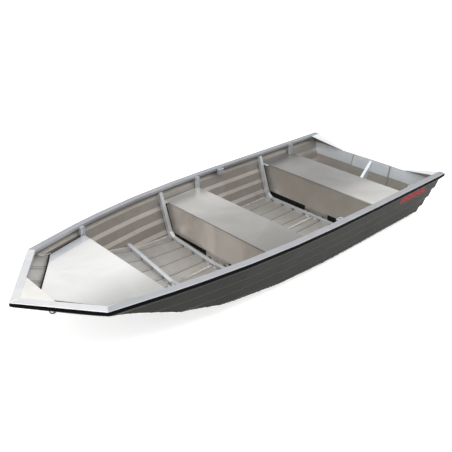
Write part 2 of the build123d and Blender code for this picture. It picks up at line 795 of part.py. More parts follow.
# Corner plates from the gunwale down to the lowered middle of the transom
edge_rise = (corner_z - TRANSOM_MID_Z) / (TRANSOM_CORNER_HALF - TRANSOM_MID_HALF)
plate_low = TRANSOM_MID_Z + (TRANSOM_T + CAP_T) * tan(rake) + FIT
plate_high = plate_low + edge_rise * (CORNER_OUT_HALF - TRANSOM_MID_HALF)
with BuildPart() as corner_plates:
    with BuildSketch(Plane.YZ.offset(STERN)):
        with BuildLine():
            Polyline(
                (TRANSOM_MID_HALF, plate_low),
                (CORNER_OUT_HALF, plate_high),
                (CORNER_OUT_HALF, plate_high + PLATE_T),
                (TRANSOM_MID_HALF, plate_low + PLATE_T),
                close=True,
            )
        make_face()
    extrude(amount=CORNER_RUN)
    with BuildSketch(Plane.XY):
        with BuildLine():
            Polyline(
                (STERN, TRANSOM_MID_HALF),
                (STERN + CORNER_MIN, TRANSOM_MID_HALF),
                (STERN + CORNER_RUN, CORNER_OUT_HALF),
                (STERN, CORNER_OUT_HALF),
                close=True,
            )
        make_face()
    extrude(amount=2 * DEEP, mode=Mode.INTERSECT)
    add(between_gunwales.part, mode=Mode.INTERSECT)
    mirror(about=Plane.XZ)
save(corner_plates.part, "corner_plates")

# Rowlock sockets on the inner side of the gunwale
rowlock_s = SEATS["mid"][0] - ROWLOCK_AFT
rowlock_y = beam(rowlock_s) - GUNWALE_W - ROWLOCK_W / 2
rowlock_top = sheer(rowlock_s) - ROWLOCK_DROP
with BuildPart() as rowlock_port:
    with BuildSketch(Plane.XY.offset(rowlock_top)):
        with Locations((STERN + rowlock_s, rowlock_y)):
            RectangleRounded(ROWLOCK_L, ROWLOCK_W, ROWLOCK_CORNER)
            Circle(ROWLOCK_BORE / 2, mode=Mode.SUBTRACT)
    extrude(amount=-ROWLOCK_H)
    add(between_gunwales.part, mode=Mode.INTERSECT)
save(rowlock_port.part, "rowlock_port")
save(mirror(rowlock_port.part, about=Plane.XZ), "rowlock_starboard")

# Towing eye on the stem: a loop of square bar with both legs in a base block
stem_slope = atan2(STEM_RISE[1], STEM_RISE[0])
eye_z = floor_line(EYE_S)[0] - BOTTOM_T
eye_plane = Plane(
    origin=(STERN + EYE_S, 0, eye_z),
    x_dir=(cos(stem_slope), 0, sin(stem_slope)),
    z_dir=(0, -1, 0),
)
with BuildPart() as bow_eye:
    with BuildSketch(eye_plane):
        for reach, mode in ((EYE_R + EYE_BAR / 2, Mode.ADD), (EYE_R - EYE_BAR / 2, Mode.SUBTRACT)):
            with Locations((0, -EYE_LEG)):
                Circle(reach, mode=mode)
            with Locations((0, (EYE_EMBED - EYE_LEG) / 2)):
                Rectangle(2 * reach, EYE_EMBED + EYE_LEG, mode=mode)
    extrude(amount=EYE_BAR / 2, both=True)
    with BuildSketch(eye_plane):
        Rectangle(2 * EYE_R + 3 * EYE_BAR, 2 * EYE_BASE)
    extrude(amount=EYE_BASE_W / 2, both=True)
    split(bisect_by=Plane.XZ, keep=Keep.BOTTOM)
    add(below_hull.part, mode=Mode.INTERSECT)
    mirror(about=Plane.XZ)
save(bow_eye.part, "bow_eye")
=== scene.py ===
import random

import bmesh
import bpy
from mathutils import Matrix, Vector
from mathutils.bvhtree import BVHTree


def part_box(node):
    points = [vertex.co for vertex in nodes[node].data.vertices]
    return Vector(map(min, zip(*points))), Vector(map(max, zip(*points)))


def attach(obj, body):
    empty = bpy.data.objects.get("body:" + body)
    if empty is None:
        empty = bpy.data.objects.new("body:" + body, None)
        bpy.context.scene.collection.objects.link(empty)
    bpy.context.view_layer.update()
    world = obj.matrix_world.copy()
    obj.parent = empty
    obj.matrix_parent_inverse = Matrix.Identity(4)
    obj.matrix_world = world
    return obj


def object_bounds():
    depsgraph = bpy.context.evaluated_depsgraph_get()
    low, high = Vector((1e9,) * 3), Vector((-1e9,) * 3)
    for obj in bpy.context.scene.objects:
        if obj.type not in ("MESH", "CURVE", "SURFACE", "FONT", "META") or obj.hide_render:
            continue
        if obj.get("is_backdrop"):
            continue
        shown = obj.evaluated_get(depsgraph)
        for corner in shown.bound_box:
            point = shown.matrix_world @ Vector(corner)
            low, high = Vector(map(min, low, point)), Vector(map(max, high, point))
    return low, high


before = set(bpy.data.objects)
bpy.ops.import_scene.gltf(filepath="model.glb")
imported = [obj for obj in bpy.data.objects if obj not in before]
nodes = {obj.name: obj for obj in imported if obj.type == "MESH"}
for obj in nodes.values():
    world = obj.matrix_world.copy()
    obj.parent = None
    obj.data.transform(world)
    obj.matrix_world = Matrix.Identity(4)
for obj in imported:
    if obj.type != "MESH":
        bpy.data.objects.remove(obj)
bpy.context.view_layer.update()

# The view: the boat from its port bow, above eye height, with a moderately long lens.
# It stands on a plain pale floor under a sky that is brightest overhead, with one wide soft lamp
# above its port side.
CAMERA_PLACE = (2.8269, 2.8157, 2.3897)
CAMERA_TURN = (1.08340, -0.01265, 2.38130)
SENSOR = 36.0
LENS = 47.35
SKY_ZENITH = 0.95
SKY_HORIZON = 0.60
SKY_ZENITH_FROM = 0.9
SKY_SEEN = 1.0
LAMP_WATTS = 170.0
LAMP_SIZE = 5.0
LAMP_PLACE = Vector((1.0, 1.5, 5.0))
LAMP_AIM = Vector((0, 0, 0.2))
FLOOR_HALF = 40.0
FLOOR_GLOW = 0.64
WHITE = (1.0, 1.0, 1.0, 1.0)

scene = bpy.context.scene
scene.view_settings.view_transform = "Standard"

camera = bpy.data.objects.new("camera", bpy.data.cameras.new("camera"))
camera.location = CAMERA_PLACE
camera.rotation_euler = CAMERA_TURN
camera.data.sensor_width = SENSOR
camera.data.lens = LENS
scene.collection.objects.link(camera)
scene.camera = camera


def srgb(red, green, blue):
    """Linear colour of a screen colour from 0 to 255."""
    parts = [value / 255 for value in (red, green, blue)]
    return tuple(p / 12.92 if p <= 0.04045 else ((p + 0.055) / 1.055) ** 2.4 for p in parts) + (1.0,)


def add_node(tree, kind, **settings):
    """A new shader node with its settings; a socket's value is given by its name."""
    made = tree.nodes.new(kind)
    for name, value in settings.items():
        if hasattr(made, name):
            setattr(made, name, value)
        else:
            made.inputs[name.replace("_", " ")].default_value = value
    return made


def maths(tree, operation, first, second=None, third=None):
    """Output of a math node on one to three links or numbers."""
    made = tree.nodes.new("ShaderNodeMath")
    made.operation = operation
    for socket, value in zip(made.inputs, (first, second, third)):
        if isinstance(value, bpy.types.NodeSocket):
            tree.links.new(value, socket)
        elif value is not None:
            socket.default_value = value
    return made.outputs[0]


def ramp(tree, value, start, end, low=0.0, high=1.0):
    """A value's share of the way from start to end, as a number from low to high."""
    made = add_node(tree, "ShaderNodeMapRange", interpolation_type="SMOOTHSTEP")
    tree.links.new(value, made.inputs["Value"])
    for name, number in (("From Min", start), ("From Max", end), ("To Min", low), ("To Max", high)):
        made.inputs[name].default_value = number
    return made.outputs["Result"]


def mixed(tree, share, first, second):
    """Output colour between two colours or links by a share."""
    made = add_node(tree, "ShaderNodeMix", data_type="RGBA")
    tree.links.new(share, made.inputs["Factor"])
    for socket, value in ((made.inputs["A"], first), (made.inputs["B"], second)):
        if isinstance(value, bpy.types.NodeSocket):
            tree.links.new(value, socket)
        else:
            socket.default_value = value
    return made.outputs["Result"]


def new_material(name, colour=None, roughness=0.5, specular=0.5):
    """A material with its node tree and Principled shader."""
    made = bpy.data.materials.new(name)
    made.use_nodes = True
    tree = made.node_tree
    shader = tree.nodes["Principled BSDF"]
    if colour:
        shader.inputs["Base Color"].default_value = colour
    shader.inputs["Roughness"].default_value = roughness
    shader.inputs["Specular IOR Level"].default_value = specular
    return made, tree, shader


def noise(tree, **settings):
    """Output of a noise texture on a material's Object coordinates."""
    place = add_node(tree, "ShaderNodeTexCoord")
    made = add_node(tree, "ShaderNodeTexNoise", **settings)
    tree.links.new(place.outputs["Object"], made.inputs["Vector"])
    return made.outputs["Fac"]


def finish_with(material, *names):
    """Gives CAD nodes one material."""
    for name in names:
        slots = nodes[name].data.materials
        slots.clear()
        slots.append(material)


sky = bpy.data.worlds.new("sky")
sky.use_nodes = True
scene.world = sky
sky_tree = sky.node_tree
path = add_node(sky_tree, "ShaderNodeLightPath")
sky_place = add_node(sky_tree, "ShaderNodeTexCoord")
sky_parts = add_node(sky_tree, "ShaderNodeSeparateXYZ")
sky_tree.links.new(sky_place.outputs["Generated"], sky_parts.inputs[0])
sky_level = ramp(sky_tree, sky_parts.outputs["Z"], 0.0, SKY_ZENITH_FROM, SKY_HORIZON, SKY_ZENITH)
level = add_node(sky_tree, "ShaderNodeMix")
sky_tree.links.new(path.outputs["Is Camera Ray"], level.inputs["Factor"])
sky_tree.links.new(sky_level, level.inputs["A"])
level.inputs["B"].default_value = SKY_SEEN
sky_tree.links.new(level.outputs["Result"], sky_tree.nodes["Background"].inputs["Strength"])
sky_tree.nodes["Background"].inputs["Color"].default_value = WHITE

lamp_data = bpy.data.lights.new("soft_lamp", "AREA")
lamp_data.shape = "DISK"
lamp_data.size = LAMP_SIZE
lamp_data.energy = LAMP_WATTS
lamp = bpy.data.objects.new("soft_lamp", lamp_data)
lamp.location = LAMP_PLACE
lamp.rotation_euler = (LAMP_AIM - LAMP_PLACE).to_track_quat("-Z", "Y").to_euler()
scene.collection.objects.link(lamp)

floor_mesh = bpy.data.meshes.new("floor")
floor_form = bmesh.new()
bmesh.ops.create_grid(floor_form, x_segments=1, y_segments=1, size=FLOOR_HALF)
floor_form.to_mesh(floor_mesh)
floor_form.free()
floor = bpy.data.objects.new("floor", floor_mesh)
scene.collection.objects.link(floor)
floor_paper, _, floor_shader = new_material("floor_paper", srgb(246, 246, 246), roughness=0.9, specular=0.1)
floor_shader.inputs["Emission Color"].default_value = WHITE
floor_shader.inputs["Emission Strength"].default_value = FLOOR_GLOW
floor_mesh.materials.append(floor_paper)
floor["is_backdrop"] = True

# The bottom: two fluted V sheets of rolled aluminium, bare on both faces, welded along the
# centreline. The rolling grain runs fore and aft, and painted shade darkens both edges of each flute.
PATCH_ROUGH = 0.16
GRAIN_ROUGH = 0.10
MEAN_ROUGH = (PATCH_ROUGH + GRAIN_ROUGH) / 2
BUCKLE_DEPTH = 0.02
GRAIN_DEPTH = 0.0006


def rolled_sheet_group():
    """Node group for bare rolled sheet: colour, roughness and normal with patches and grain."""
    group = bpy.data.node_groups.new("rolled_sheet", "ShaderNodeTree")
    for name, kind in (
        ("Colour", "NodeSocketColor"),
        ("Patch colour", "NodeSocketColor"),
        ("Patch scale", "NodeSocketFloat"),
        ("Patch amount", "NodeSocketFloat"),
        ("Grain", "NodeSocketVector"),
        ("Streak", "NodeSocketFloat"),
        ("Roughness", "NodeSocketFloat"),
        ("Bump", "NodeSocketFloat"),
        ("Buckle", "NodeSocketFloat"),
    ):
        group.interface.new_socket(name, in_out="INPUT", socket_type=kind)
    group.interface.new_socket("Colour", in_out="OUTPUT", socket_type="NodeSocketColor")
    group.interface.new_socket("Roughness", in_out="OUTPUT", socket_type="NodeSocketFloat")
    group.interface.new_socket("Normal", in_out="OUTPUT", socket_type="NodeSocketVector")
    given = add_node(group, "NodeGroupInput")
    out = add_node(group, "NodeGroupOutput")
    place = add_node(group, "ShaderNodeTexCoord")
    link = group.links.new

    patch = add_node(group, "ShaderNodeTexNoise", Detail=3.0, Roughness=0.55, Distortion=0.6)
    link(place.outputs["Object"], patch.inputs["Vector"])
    link(given.outputs["Patch scale"], patch.inputs["Scale"])
    patch_mask = ramp(group, patch.outputs["Fac"], 0.35, 0.65)
    patch_share = maths(group, "MULTIPLY", patch_mask, given.outputs["Patch amount"])
    patched = mixed(group, patch_share, given.outputs["Colour"], given.outputs["Patch colour"])

    along = add_node(group, "ShaderNodeMapping")
    link(place.outputs["Object"], along.inputs["Vector"])
    link(given.outputs["Grain"], along.inputs["Scale"])
    grain = add_node(group, "ShaderNodeTexNoise", Scale=1.0, Detail=4.0, Roughness=0.7)
    link(along.outputs["Vector"], grain.inputs["Vector"])
    fade = maths(group, "SUBTRACT", 0.5, grain.outputs["Fac"])
    darker = maths(group, "MULTIPLY_ADD", fade, given.outputs["Streak"], 1.0)
    streaked = add_node(group, "ShaderNodeVectorMath", operation="SCALE")
    link(patched, streaked.inputs["Vector"])
    link(darker, streaked.inputs["Scale"])
    link(streaked.outputs["Vector"], out.inputs["Colour"])

    rough = maths(group, "MULTIPLY_ADD", patch.outputs["Fac"], PATCH_ROUGH, given.outputs["Roughness"])
    rough = maths(group, "MULTIPLY_ADD", grain.outputs["Fac"], GRAIN_ROUGH, rough)
    link(rough, out.inputs["Roughness"])

    waves = add_node(group, "ShaderNodeBump", Distance=BUCKLE_DEPTH)
    link(given.outputs["Buckle"], waves.inputs["Strength"])
    link(patch.outputs["Fac"], waves.inputs["Height"])
    bump = add_node(group, "ShaderNodeBump", Distance=GRAIN_DEPTH)
    link(given.outputs["Bump"], bump.inputs["Strength"])
    link(grain.outputs["Fac"], bump.inputs["Height"])
    link(waves.outputs["Normal"], bump.inputs["Normal"])
    link(bump.outputs["Normal"], out.inputs["Normal"])
    return group


rolled_sheet = rolled_sheet_group()
GRAIN_ALONG_X = (3.0, 260.0, 260.0)
GRAIN_ALONG_Y = (260.0, 3.0, 260.0)
GRAIN_ALONG_Z = (260.0, 260.0, 3.0)


def sheet_metal(
    name,
    colour,
    patch_colour,
    metallic,
    roughness,
    grain,
    patch_scale=4.0,
    patch=0.6,
    streak=0.25,
    bump=0.35,
    buckle=0.0,
):
    """Bare aluminium sheet with its grain one way. Returns the material, its tree, group and shader."""
    made, tree, shader = new_material(name)
    look = add_node(tree, "ShaderNodeGroup", node_tree=rolled_sheet)
    for socket, value in (
        ("Colour", colour),
        ("Patch colour", patch_colour),
        ("Patch scale", patch_scale),
        ("Patch amount", patch),
        ("Grain", grain),
        ("Streak", streak),
        ("Roughness", roughness - MEAN_ROUGH),
        ("Bump", bump),
        ("Buckle", buckle),
    ):
        look.inputs[socket].default_value = value
    tree.links.new(look.outputs["Colour"], shader.inputs["Base Color"])
    tree.links.new(look.outputs["Roughness"], shader.inputs["Roughness"])
    tree.links.new(look.outputs["Normal"], shader.inputs["Normal"])
    shader.inputs["Metallic"].default_value = metallic
    return made, tree, look, shader


def spots(tree, kind="Object"):
    """The X, Y and Z outputs of a material's Object or Normal coordinates."""
    place = add_node(tree, "ShaderNodeTexCoord")
    parts = add_node(tree, "ShaderNodeSeparateXYZ")
    tree.links.new(place.outputs[kind], parts.inputs[0])
    return parts.outputs


FLUTE_FIRST = 0.084
FLUTE_PITCH = 0.125
FLUTE_LAST = 0.48
FLUTE_SHADE_PLACE = 0.07
FLUTE_SHADE_REACH = 0.05
FLUTE_SHADE_AMOUNT = 0.7
UNDERSIDE_SHADE = 0.26
bottom_metal, bottom_tree, bottom_look, bottom_shader = sheet_metal(
    "bottom_metal", srgb(188, 188, 185), srgb(166, 161, 154),
    metallic=0.70, roughness=0.44, grain=GRAIN_ALONG_X,
    patch_scale=5.0, streak=0.4,
)
bottom_out = maths(bottom_tree, "ABSOLUTE", spots(bottom_tree)["Y"])
pitches = maths(bottom_tree, "DIVIDE", maths(bottom_tree, "SUBTRACT", bottom_out, FLUTE_FIRST), FLUTE_PITCH)
off_flute = maths(bottom_tree, "PINGPONG", pitches, 0.5)
# Painted shade: a brownish grey band along both edges of each flute, in place of the flutes' shadows.
off_edge = maths(bottom_tree, "ABSOLUTE", maths(bottom_tree, "SUBTRACT", off_flute, FLUTE_SHADE_PLACE))
near_flute = ramp(bottom_tree, off_edge, FLUTE_SHADE_REACH, 0.0)
in_field = maths(bottom_tree, "LESS_THAN", bottom_out, FLUTE_LAST)
flute_shade = maths(bottom_tree, "MULTIPLY", maths(bottom_tree, "MULTIPLY", near_flute, in_field), FLUTE_SHADE_AMOUNT)
flute_shaded = mixed(bottom_tree, flute_shade, bottom_look.outputs["Colour"], srgb(86, 74, 68))
# Painted shade: the faces turned down, under the hull, take the bottom colour scaled darker by
# UNDERSIDE_SHADE.
underside = maths(bottom_tree, "LESS_THAN", spots(bottom_tree, "Normal")["Z"], 0.0)
shaded_underside = add_node(bottom_tree, "ShaderNodeVectorMath", operation="SCALE", Scale=UNDERSIDE_SHADE)
bottom_tree.links.new(flute_shaded, shaded_underside.inputs["Vector"])
bottom_colour = mixed(bottom_tree, underside, flute_shaded, shaded_underside.outputs["Vector"])
bottom_tree.links.new(bottom_colour, bottom_shader.inputs["Base Color"])
finish_with(bottom_metal, "bottom_port", "bottom_starboard")

# The sides: pressed sheets with four steps, bare inside and painted dark grey outside.
# The nose strips are cut from the same sheet. A row of plain red bars slants near the port stern.
BARE_METALLIC = 0.70
BARE_SPECULAR = 0.5
PAINT_SPECULAR = 0.06
PAINT = srgb(44, 44, 42)
PAINT_DUSTY = srgb(55, 55, 52)
BAR_RED = srgb(150, 14, 20)
BAR_AFT_X = -1.58
BAR_FORE_X = -1.21
BAR_PITCH = 0.070
BAR_SHARE = 0.30
BAR_SLANT = 0.9
BAR_LOW = 0.305
BAR_HIGH = 0.362
side_metal, side_tree, side_look, side_shader = sheet_metal(
    "side_metal", srgb(176, 171, 165), srgb(156, 149, 141),
    metallic=BARE_METALLIC, roughness=0.48, grain=GRAIN_ALONG_X,
    patch_scale=3.0,
)
side_at = spots(side_tree)
outward = maths(side_tree, "MULTIPLY", spots(side_tree, "Normal")["Y"], side_at["Y"])
painted = maths(side_tree, "GREATER_THAN", outward, 0.0)
paint_colour = mixed(side_tree, noise(side_tree, Scale=2.5, Detail=4.0), PAINT, PAINT_DUSTY)
slanted = maths(side_tree, "MULTIPLY_ADD", side_at["Z"], BAR_SLANT, side_at["X"])
stripes = maths(side_tree, "FRACT", maths(side_tree, "DIVIDE", slanted, BAR_PITCH))
bar_mask = maths(side_tree, "GREATER_THAN", stripes, BAR_SHARE)
for axis, test, limit in (
    ("X", "GREATER_THAN", BAR_AFT_X),
    ("X", "LESS_THAN", BAR_FORE_X),
    ("Y", "GREATER_THAN", 0.0),
    ("Z", "GREATER_THAN", BAR_LOW),
    ("Z", "LESS_THAN", BAR_HIGH),
):
    bar_mask = maths(side_tree, "MULTIPLY", bar_mask, maths(side_tree, test, side_at[axis], limit))
paint_colour = mixed(side_tree, bar_mask, paint_colour, BAR_RED)
side_colour = mixed(side_tree, painted, side_look.outputs["Colour"], paint_colour)
side_tree.links.new(side_colour, side_shader.inputs["Base Color"])
for socket, bare, coated in (
    ("Metallic", BARE_METALLIC, 0.0),
    ("Specular IOR Level", BARE_SPECULAR, PAINT_SPECULAR),
):
    either = maths(side_tree, "MULTIPLY_ADD", painted, coated - bare, bare)
    side_tree.links.new(either, side_shader.inputs[socket])
finish_with(side_metal, "side_port", "side_starboard", "bow_port", "bow_starboard")

# The gunwale: a satin aluminium extrusion, mitred and welded at the shoulder and the tip, with
# a black rubber insert pressed into the groove along its outer wall.
BEAD_SIDES = 6
BEAD_STEP = 0.004
SEED = 5
RAY_TOP = 0.6


def new_piece(name, form, material):
    """Makes a finished piece from a bmesh, riding on the hull."""
    bmesh.ops.remove_doubles(form, verts=form.verts, dist=1e-6)
    bmesh.ops.recalc_face_normals(form, faces=form.faces)
    for face in form.faces:
        face.smooth = True
    mesh = bpy.data.meshes.new(name)
    form.to_mesh(mesh)
    form.free()
    mesh.materials.append(material)
    piece = bpy.data.objects.new(name, mesh)
    scene.collection.objects.link(piece)
    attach(piece, "root")


def add_bead(form, points, radius, wander):
    """A weld bead through the points: bridged rings whose radius wanders, closed at both ends."""
    rings = []
    for i, point in enumerate(points):
        ahead = points[min(i + 1, len(points) - 1)] - points[max(i - 1, 0)]
        turn = ahead.to_track_quat("Z", "Y").to_matrix().to_4x4()
        size = radius * (1 + wander * dice.uniform(-1, 1))
        place = Matrix.Translation(point) @ turn
        made = bmesh.ops.create_circle(form, segments=BEAD_SIDES, radius=size, matrix=place)
        rings.append(list({edge for vert in made["verts"] for edge in vert.link_edges}))
    for ring, following in zip(rings, rings[1:]):
        bmesh.ops.bridge_loops(form, edges=ring + following)
    for ring in (rings[0], rings[-1]):
        bmesh.ops.contextual_create(form, geom=ring)


def between(start, end):
    """Points from start to end, about a bead's step apart."""
    count = max(2, round((end - start).length / BEAD_STEP))
    return [start.lerp(end, i / count) for i in range(count + 1)]


dice = random.Random(SEED)
gunwale_metal = sheet_metal(
    "gunwale_metal", srgb(174, 176, 180), srgb(161, 163, 169),
    metallic=0.55, roughness=0.40, grain=GRAIN_ALONG_X,
    patch_scale=6.0, patch=0.5, streak=0.10, bump=0.15,
)[0]
finish_with(gunwale_metal, "gunwale_port", "gunwale_starboard")
nose_rail_metal = sheet_metal(
    "nose_rail_metal", srgb(226, 227, 229), srgb(208, 209, 213),
    metallic=0.55, roughness=0.36, grain=GRAIN_ALONG_Y,
    patch_scale=6.0, patch=0.5, streak=0.10, bump=0.15,
)[0]
finish_with(nose_rail_metal, "gunwale_bow_port", "gunwale_bow_starboard")
insert_rubber, insert_tree, insert_shader = new_material("insert_rubber", specular=0.03)
insert_dust = noise(insert_tree, Scale=60.0, Detail=3.0)
insert_rough = ramp(insert_tree, insert_dust, 0.3, 0.7, 0.42, 0.66)
insert_tree.links.new(insert_rough, insert_shader.inputs["Roughness"])
insert_colour = mixed(insert_tree, insert_dust, srgb(2, 2, 3), srgb(9, 9, 11))
insert_tree.links.new(insert_colour, insert_shader.inputs["Base Color"])
finish_with(insert_rubber, "insert_port", "insert_starboard")

weld_metal = sheet_metal(
    "weld_metal", srgb(228, 228, 226), srgb(190, 186, 180),
    metallic=0.6, roughness=0.42, grain=(220.0, 220.0, 220.0),
    patch_scale=40.0, patch=0.6, streak=0.5, bump=0.8,
)[0]


def surface(*names):
    """A tree of CAD nodes' faces for casting rays."""
    corners, faces = [], []
    for name in names:
        first = len(corners)
        mesh = nodes[name].data
        corners += [vert.co.copy() for vert in mesh.vertices]
        faces += [[first + i for i in face.vertices] for face in mesh.polygons]
    return BVHTree.FromPolygons(corners, faces)


def dropped(tree, x, y, top=RAY_TOP, sink=0.0):
    """The point of a surface straight below a place, sunk a little into it."""
    hit = tree.ray_cast(Vector((x, y, top)), Vector((0, 0, -1)))[0]
    return hit - Vector((0, 0, sink))


SHOULDER = Vector((1.448, 0.463, 0))
SHOULDER_IN = Vector((1.4179, 0.4167, 0))
TIP_OUT_X = 1.788
TIP_IN_X = 1.740
MITRE_FROM = 0.16
MITRE_TO = 0.96
MITRE_SINK = 0.001
MITRE_OFF = 0.0005
MITRE_R = 0.0034
MITRE_WANDER = 0.22
gunwale_top = surface("gunwale_port", "gunwale_starboard", "gunwale_bow_port", "gunwale_bow_starboard")
mitres = bmesh.new()
for side in (1, -1):
    across_joint = [
        dropped(gunwale_top, spot.x, side * spot.y, sink=MITRE_SINK)
        for spot in between(SHOULDER.lerp(SHOULDER_IN, MITRE_FROM), SHOULDER.lerp(SHOULDER_IN, MITRE_TO))
    ]
    add_bead(mitres, across_joint, MITRE_R, MITRE_WANDER)
tip_joint = [
    dropped(gunwale_top, spot.x, MITRE_OFF, sink=MITRE_SINK)
    for spot in between(Vector((TIP_OUT_X, 0, 0)), Vector((TIP_IN_X, 0, 0)))
]
add_bead(mitres, tip_joint, MITRE_R, MITRE_WANDER)
new_piece("mitre_welds", mitres, weld_metal)

# Under the bottom: a keel bar and two runners. On the floor: a strip over the centre seam, laid
# with one row of weld ridges from the transom to the strip's end in the front well.
bar_metal = sheet_metal(
    "bar_metal", srgb(186, 186, 182), srgb(164, 160, 152),
    metallic=0.65, roughness=0.45, grain=GRAIN_ALONG_X,
)[0]
finish_with(bar_metal, "keel", "runner_port", "runner_starboard", "seam_strip")
RIDGE_PITCH = 0.018
RIDGE_SIZE = (0.0062, 0.0150, 0.0030)
SEAM_AFT_X = -1.68
SEAM_FORE_X = 0.53
RIDGE_STRAY = 0.15
RIDGE_OFF = 0.001
RIDGE_SINK = 0.0004
RIDGE_SLANT = 0.25
RIDGE_RANGE = (0.85, 1.15)
seam_top = surface("seam_strip")
ridges = bmesh.new()
for i in range(int((SEAM_FORE_X - SEAM_AFT_X) / RIDGE_PITCH)):
    x = SEAM_AFT_X + (i + dice.uniform(-RIDGE_STRAY, RIDGE_STRAY)) * RIDGE_PITCH
    place = Matrix.Translation(dropped(seam_top, x, RIDGE_OFF * dice.uniform(-1, 1), sink=RIDGE_SINK))
    slant = Matrix.Rotation(dice.uniform(-RIDGE_SLANT, RIDGE_SLANT), 4, "Z")
    shape = Matrix.Diagonal([value * dice.uniform(*RIDGE_RANGE) for value in RIDGE_SIZE] + [1.0])
    bmesh.ops.create_icosphere(ridges, subdivisions=1, radius=1.0, matrix=place @ slant @ shape)
new_piece("seam_ridges", ridges, weld_metal)

# The frames: folded ribs across the floor, two with arms welded up the sides. Each is tacked
# down where it crosses the centre seam.
rib_metal = sheet_metal(
    "rib_metal", srgb(208, 211, 214), srgb(186, 189, 193),
    metallic=0.6, roughness=0.40, grain=GRAIN_ALONG_Y,
    patch_scale=8.0, patch=0.5, streak=0.15,
)[0]
finish_with(rib_metal, "rib_front", "rib_mid", "rib_aft")
TACK_OUT = 0.026
TACK_LENGTH = 0.022
TACK_R = 0.0040
TACK_WANDER = 0.3
UNDER_SEATS = 0.3
floor_sheets = surface("bottom_port", "bottom_starboard")
tacks = bmesh.new()
for name in ("rib_front", "rib_mid", "rib_aft"):
    rib_low, rib_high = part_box(name)
    for x in (rib_low[0], rib_high[0]):
        for side in (1, -1):
            inner = Vector((x, side * TACK_OUT, 0))
            outer = Vector((x, side * (TACK_OUT + TACK_LENGTH), 0))
            line = [dropped(floor_sheets, spot.x, spot.y, UNDER_SEATS) for spot in between(inner, outer)]
            add_bead(tacks, line, TACK_R, TACK_WANDER)
new_piece("rib_tacks", tacks, weld_metal)

# The seats: brushed tops with turned edges over plain panels, with black foam inside whose near black
# also stands in for the shade in the hollows. The tops carry a painted reflection that changes softly
# from side to side, and the panels show slanting smears.
SMEAR_LEAN = (0.9, 0.0, 0.0)
SMEAR_SCALE = (1.0, 4.2, 1.5)
SEAT_HALF = 0.62


def painted_reflection_across_beam(material, tree, look, shader, starboard, middle, port, half):
    """Lays a painted reflection over a sheet: a soft change of tone from starboard over the middle to port.
    """
    out = spots(tree)["Y"]
    port_share = ramp(tree, out, 0.0, half)
    starboard_share = ramp(tree, out, 0.0, -half)
    reflected = mixed(tree, port_share, middle, port)
    reflected = mixed(tree, starboard_share, reflected, starboard)
    tinted = add_node(tree, "ShaderNodeMix", data_type="RGBA", blend_type="MULTIPLY")
    tinted.inputs["Factor"].default_value = 1.0
    tree.links.new(look.outputs["Colour"], tinted.inputs["A"])
    tree.links.new(reflected, tinted.inputs["B"])
    tree.links.new(tinted.outputs["Result"], shader.inputs["Base Color"])
    return material


def smeared(material, tree, look, shader, smear_colour, amount):
    """Adds slanting smears to a panel's colour."""
    place = add_node(tree, "ShaderNodeTexCoord")
    lean = add_node(tree, "ShaderNodeMapping")
    lean.inputs["Rotation"].default_value = SMEAR_LEAN
    lean.inputs["Scale"].default_value = SMEAR_SCALE
    tree.links.new(place.outputs["Object"], lean.inputs["Vector"])
    smear = add_node(tree, "ShaderNodeTexNoise", Scale=1.0, Detail=3.0, Distortion=0.4)
    tree.links.new(lean.outputs["Vector"], smear.inputs["Vector"])
    share = ramp(tree, smear.outputs["Fac"], 0.38, 0.72, 0.0, amount)
    tree.links.new(mixed(tree, share, look.outputs["Colour"], smear_colour), shader.inputs["Base Color"])
    return material


# The seat tops' painted reflection: white at the bright end, greyer towards the dim end.
REFLECTION_MID = srgb(203, 203, 203)
REFLECTION_LOW = srgb(176, 176, 176)
for name, colour, patch_colour, reflection_tones in (
    ("mid", srgb(226, 225, 222), srgb(202, 200, 196), (WHITE, REFLECTION_MID, REFLECTION_LOW)),
    ("aft", srgb(234, 233, 230), srgb(206, 204, 200), (REFLECTION_LOW, REFLECTION_LOW, WHITE)),
):
    top = sheet_metal(
        f"{name}_top_metal", colour, patch_colour,
        metallic=0.7, roughness=0.32, grain=GRAIN_ALONG_Y,
        patch_scale=2.4, patch=0.6, streak=0.12, bump=0.2, buckle=0.2,
    )
    finish_with(painted_reflection_across_beam(*top, *reflection_tones, SEAT_HALF), f"seat_{name}_top")
for name, colour, patch_colour, smear_colour, amount in (
    ("mid", srgb(214, 207, 199), srgb(196, 186, 176), srgb(242, 235, 228), 0.8),
    ("aft", srgb(186, 181, 174), srgb(170, 163, 155), srgb(200, 194, 186), 0.6),
):
    panel = sheet_metal(
        f"{name}_panel_metal", colour, patch_colour,
        metallic=0.65, roughness=0.42, grain=GRAIN_ALONG_Y,
        patch_scale=2.4, patch=0.6, streak=0.15,
    )
    finish_with(smeared(*panel, smear_colour, amount), f"seat_{name}_front", f"seat_{name}_rear")
# Painted shade in part: the foam blocks are near black, which also stands in for the deep shade inside the
# seat and deck hollows.
FOAM_CELLS = 240.0
foam_black_and_shade, foam_tree, foam_shader = new_material("foam_black_and_shade", roughness=0.9, specular=0.2)
foam_place = add_node(foam_tree, "ShaderNodeTexCoord")
foam_cells = add_node(foam_tree, "ShaderNodeTexVoronoi", Scale=FOAM_CELLS)
foam_tree.links.new(foam_place.outputs["Object"], foam_cells.inputs["Vector"])
foam_bump = add_node(foam_tree, "ShaderNodeBump", Strength=0.6, Distance=0.001)
foam_tree.links.new(foam_cells.outputs["Distance"], foam_bump.inputs["Height"])
foam_tree.links.new(foam_bump.outputs["Normal"], foam_shader.inputs["Normal"])
foam_colour = mixed(foam_tree, foam_cells.outputs["Distance"], srgb(16, 15, 15), srgb(34, 33, 32))
foam_tree.links.new(foam_colour, foam_shader.inputs["Base Color"])
finish_with(foam_black_and_shade, "seat_mid_foam", "seat_aft_foam", "foredeck_foam")
